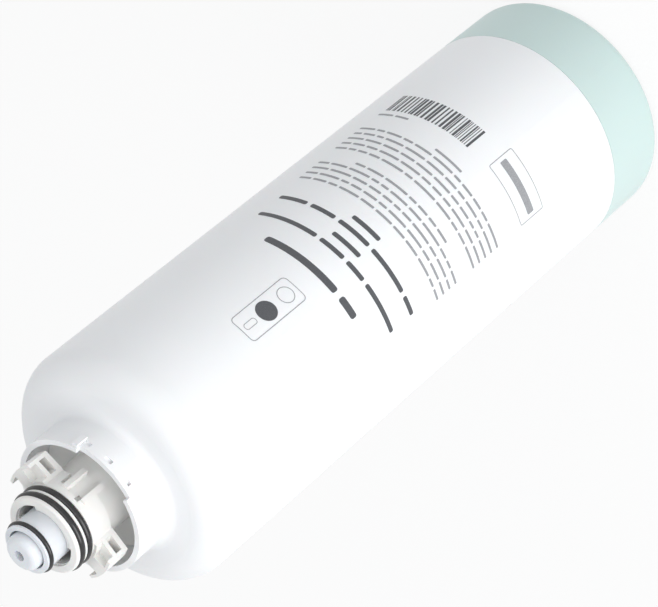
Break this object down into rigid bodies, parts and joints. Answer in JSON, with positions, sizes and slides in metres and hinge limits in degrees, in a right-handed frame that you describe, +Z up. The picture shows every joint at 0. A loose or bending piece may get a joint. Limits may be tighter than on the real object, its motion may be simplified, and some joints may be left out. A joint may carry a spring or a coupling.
{
  "type": "reverse osmosis membrane cartridge",
  "caption": "Sealed quick-change reverse osmosis membrane cartridge: white cylinder, mint end cap, open collar round a bayonet port stem with o-rings and coaxial nozzle.",
  "frame": {"origin": "on the axis at the foot of the mint end cap, the plane the cartridge stands on", "axes": "+Z up the axis toward the ports; +X between the two kidney windows, on the side of the collar's set-back rim and ratchet pockets"},
  "size_m": [0.1, 0.1, 0.3465],
  "materials": {
    "shell": "satin white",
    "cap": "satin pale mint",
    "stem": "satin warm white",
    "spigot": "satin cool white",
    "nozzle": "satin cool white",
    "seal": "smooth black",
    "core": "natural white",
    "membrane": "rolled film, off-white",
    "wrap": "tape, pale blue",
    "disc": "dark grey"
  },
  "bodies": {
    "root": {"housing_shell": "shell", "end_cap": "cap", "port_stem": "stem", "inner_spigot": "spigot", "permeate_nozzle": "nozzle", "stem_o_ring_front": "seal", "stem_o_ring_rear": "seal", "spigot_o_ring": "seal", "neck_seal_ring": "seal", "nozzle_seal_upper": "seal", "nozzle_seal_lower": "seal", "plug_o_ring": "seal", "brine_seal": "seal", "core_tube": "core", "core_plug": "core", "membrane_roll": "membrane", "outer_wrap": "wrap", "top_end_disc": "disc", "bottom_end_disc": "disc", "spacer_ring": "disc"}
  },
  "joints": []
}
